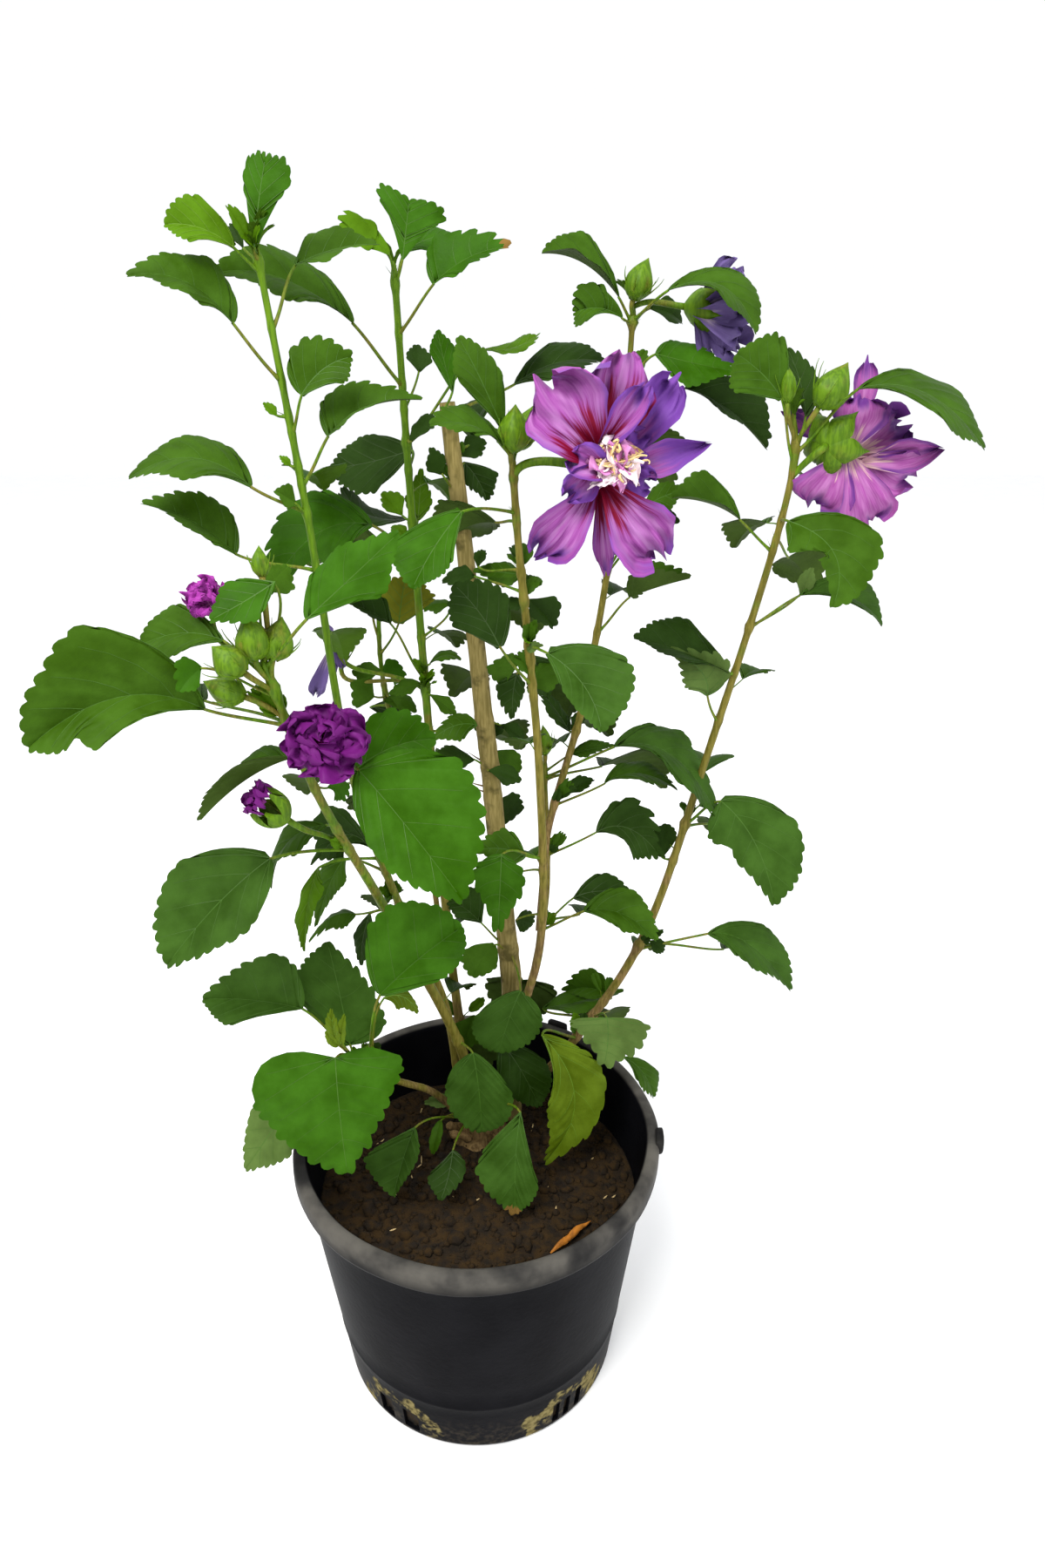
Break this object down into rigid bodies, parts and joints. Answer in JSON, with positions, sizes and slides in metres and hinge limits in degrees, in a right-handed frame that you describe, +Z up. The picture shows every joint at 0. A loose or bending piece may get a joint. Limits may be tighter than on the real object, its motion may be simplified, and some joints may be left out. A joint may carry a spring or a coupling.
{
  "type": "hibiscus shrub",
  "caption": "Potted hibiscus shrub: a round tapered nursery pot with soil, a pruned trunk and slender limbs, toothed green leaves and lilac double blooms.",
  "frame": {"origin": "centre of the pot's flat underside", "axes": "+Z up along the pot's axis, -Y towards the front from which the main bloom is seen, +X to the right"},
  "size_m": [0.4397, 0.2603, 0.732],
  "materials": {
    "pot": "charcoal black plastic, worn grey on the rim, dried tan stains round the drain slots",
    "soil": "dark crumbly potting soil with straw bits",
    "wood": "khaki to olive young bark, ringed at the joints",
    "shoot": "green soft shoots",
    "leaf": "mid green toothed leaves, satin above and paler below",
    "petal": "lilac petals with crimson throats and violet-blue rims"
  },
  "bodies": {
    "root": {"back_stem": "shoot", "bloom_double": "petal", "bloom_front": "petal", "bloom_right": "petal", "bloom_spent": "petal", "bud_stem": "shoot", "front_stem": "wood", "leaves_back_inner": "leaf", "leaves_back_lower": "leaf", "leaves_back_tip": "leaf", "leaves_back_waist": "leaf", "leaves_bud_foot": "leaf", "leaves_bud_head": "leaf", "leaves_foot_front": "leaf", "leaves_foot_left": "leaf", "leaves_foot_upper": "leaf", "leaves_front_head": "leaf", "leaves_front_lower": "leaf", "leaves_front_waist": "leaf", "leaves_left_foot": "leaf", "leaves_left_lower": "leaf", "leaves_left_side": "leaf", "leaves_left_tip": "leaf", "leaves_left_upper": "leaf", "leaves_left_wide": "leaf", "leaves_low_shoot": "leaf", "leaves_middle_foot": "leaf", "leaves_middle_head": "leaf", "leaves_middle_inner": "leaf", "leaves_middle_wide": "leaf", "leaves_right_foot": "leaf", "leaves_right_low": "leaf", "leaves_right_mid": "leaf", "leaves_right_shoulder": "leaf", "leaves_right_side": "leaf", "leaves_right_tip": "leaf", "leaves_right_upper": "leaf", "leaves_second_back": "leaf", "leaves_second_front": "leaf", "leaves_second_side": "leaf", "leaves_second_tip": "leaf", "leaves_second_waist": "leaf", "leaves_second_wide": "leaf", "leaves_thin_stem": "leaf", "leaves_trunk_foot": "leaf", "leaves_trunk_head": "leaf", "leaves_trunk_waist": "leaf", "left_leader": "wood", "low_shoot": "wood", "middle_stem": "wood", "pot": "pot", "right_stem": "wood", "root_crown": "wood", "second_leader": "wood", "soil": "soil", "thin_stem": "shoot", "trunk": "wood"}
  },
  "joints": []
}
